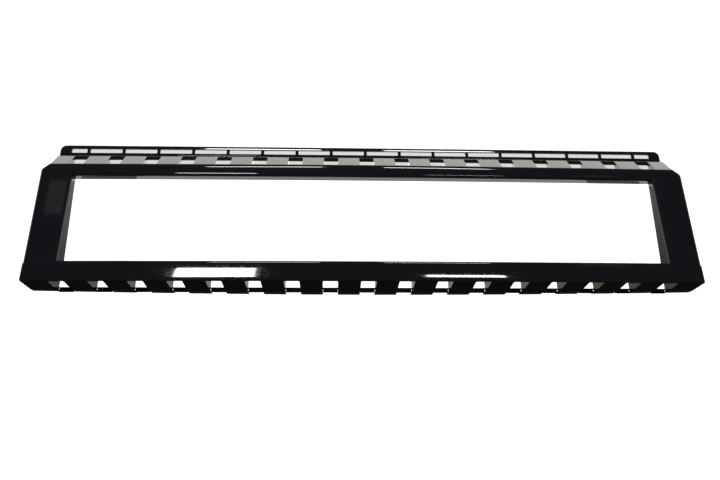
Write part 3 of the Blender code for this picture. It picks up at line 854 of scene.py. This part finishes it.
# ---------------------------------------------------------------- studio
# White paper, ceiling panels and cards that show in the gloss, and the camera.

CEILING = 1.6
PANELS = (
    ("near_left_panel", (-0.55, 0.316, CEILING), (0.33, 0.222), 40),
    ("near_right_panel", (0.49, 0.243, CEILING), (0.33, 0.045), 40),
    ("far_left_panel", (-0.396, 1.32, CEILING), (0.544, 0.2), 40),
    ("far_right_panel", (0.448, 1.32, CEILING), (0.526, 0.2), 40),
    ("dim_left_panel", (-1.24, 0.80, CEILING), (0.16, 0.16), 0.22),
    ("dim_right_panel", (1.12, 0.72, CEILING), (0.2, 0.4), 0.16))
FAR = 3.0
CARD_LEVEL = -0.001
CARD_START = box_low[1] + 0.004
CARD_EDGE = box_low[1] + LOWER_TOP
SIDE_CARD = (2.5, 2.0, 2.5)
PAPER_GLOW = 1.3
SHADED_GLOW = 0.70
SHADE_FRONT = (0.100, 0.112)
SHADE_BACK = (0.167, 0.159)
SHADE_ENDS = (0.595, 0.575)


def glowing(name, tint):
    """A material that only glows, with its tree and its shader."""
    made = bpy.data.materials.new(name)
    made.use_nodes = True
    shader = made.node_tree.nodes["Principled BSDF"]
    shader.inputs["Base Color"].default_value = linear("#000000")
    shader.inputs["Emission Color"].default_value = linear(tint)
    return made, made.node_tree, shader


def stage_face(name, corners, finish):
    """A flat face of the studio, which isn't part of the grille."""
    bm = bmesh.new()
    face = bm.faces.new([bm.verts.new(corner) for corner in corners])
    uv = bm.loops.layers.uv.new("UVMap")
    for loop, spot in zip(face.loops, ((0, 0), (1, 0), (1, 1), (0, 1))):
        loop[uv].uv = spot
    mesh = bpy.data.meshes.new(name)
    bm.to_mesh(mesh)
    bm.free()
    made = bpy.data.objects.new(name, mesh)
    bpy.context.scene.collection.objects.link(made)
    made.visible_diffuse = False
    mesh.materials.append(finish)
    return made


def level(xs, ys, z):
    """The corners of a level rectangle."""
    return (xs[0], ys[0], z), (xs[1], ys[0], z), (xs[1], ys[1], z), (xs[0], ys[1], z)


def make_paper():
    """White paper that glows evenly, with a soft painted shade under the rear flange and the vent strip."""
    made, tree, shader = glowing("white_paper", "#ffffff")
    shader.inputs["Roughness"].default_value = 0.9
    spot = add_node(tree, "ShaderNodeTexCoord").outputs["Object"]
    where = add_node(tree, "ShaderNodeSeparateXYZ", {0: spot})
    sideways = calculate(tree, "ABSOLUTE", where.outputs["X"])
    front = remap(tree, where.outputs["Y"], 0.0, 1.0, *SHADE_FRONT)
    back = remap(tree, where.outputs["Y"], 0.0, 1.0, *SHADE_BACK)
    ends = remap(tree, sideways, 0.0, 1.0, *SHADE_ENDS)
    # Painted shade: the glow falls from PAPER_GLOW to SHADED_GLOW inside this band, with soft edges.
    shade = calculate(tree, "MULTIPLY", calculate(tree, "MULTIPLY", front, back), ends)
    tree.links.new(remap(tree, shade, PAPER_GLOW, SHADED_GLOW), shader.inputs["Emission Strength"])
    return made


def add_card(name, corners, glows, tint="#f2f5ea"):
    """A card that shows only in the gloss; it glows from its first edge's strength to its last edge's."""
    finish, tree, shader = glowing(name, tint)
    shader.inputs["Specular IOR Level"].default_value = 0
    across = add_node(tree, "ShaderNodeSeparateXYZ", {0: add_node(tree, "ShaderNodeTexCoord").outputs["UV"]})
    tree.links.new(remap(tree, across.outputs["Y"], *glows), shader.inputs["Emission Strength"])
    card = stage_face(name, corners, finish)
    card.visible_camera = False
    card.visible_shadow = False


def add_panel(name, centre, size, radiance):
    """A rectangular ceiling panel that faces straight down."""
    lamp = bpy.data.lights.new(name, "AREA")
    lamp.shape = "RECTANGLE"
    lamp.size, lamp.size_y = size
    lamp.energy = radiance * math.pi * size[0] * size[1]
    panel = bpy.data.objects.new(name, lamp)
    bpy.context.scene.collection.objects.link(panel)
    panel.location = centre


floor = stage_face("studio_floor", level((-12, 12), (-12, 12), 0), make_paper())
floor.location.z = -0.0005
floor.visible_glossy = False

world = bpy.data.worlds.new("studio")
world.use_nodes = True
world.node_tree.nodes["Background"].inputs["Color"].default_value = linear("#dfe6f4")
world.node_tree.nodes["Background"].inputs["Strength"].default_value = 0.14
bpy.context.scene.world = world

for panel in PANELS:
    add_panel(*panel)
# In the gloss, the white card stands for bright paper behind; the under card and the dark card are painted
# shade under and in front of the lower rail.
add_card("white_card", level((-FAR, FAR), (CARD_EDGE, FAR), CARD_LEVEL), (2.1, 2.1))
add_card("under_card", level((-FAR, FAR), (CARD_START, CARD_EDGE), CARD_LEVEL), (0.5, 0.5))
add_card("dark_card", level((-FAR, FAR), (-FAR, CARD_START), CARD_LEVEL), (0.02, 0.02))
for hand, side in (("left", -1), ("right", 1)):
    # The post cards are painted shade beside the posts, darker at the front and lighter towards the back.
    xs = sorted((side * 0.44, side * 0.545))
    ys = (CARD_EDGE - 0.01, box_low[1] + UPPER_WALL + 0.03)
    add_card(f"{hand}_post_card", level(xs, ys, 0), (0.2, 0.75))
    x, y, z = SIDE_CARD
    upright = ((side * x, -y, 0), (side * x, y, 0), (side * x, y, z), (side * x, -y, z))
    add_card(f"{hand}_side_card", upright, (0.5, 0.5), "#dfe6f4")

camera_data = bpy.data.cameras.new("camera")
camera = bpy.data.objects.new("camera", camera_data)
bpy.context.scene.collection.objects.link(camera)
camera_data.lens = 34.61
camera_data.sensor_width = 36
camera.location = (-0.0643, -0.5587, 1.1874)
camera.rotation_euler = [math.radians(a) for a in (23.79, -2.28, -0.65)]
bpy.context.scene.camera = camera
bpy.context.scene.view_settings.view_transform = "Standard"
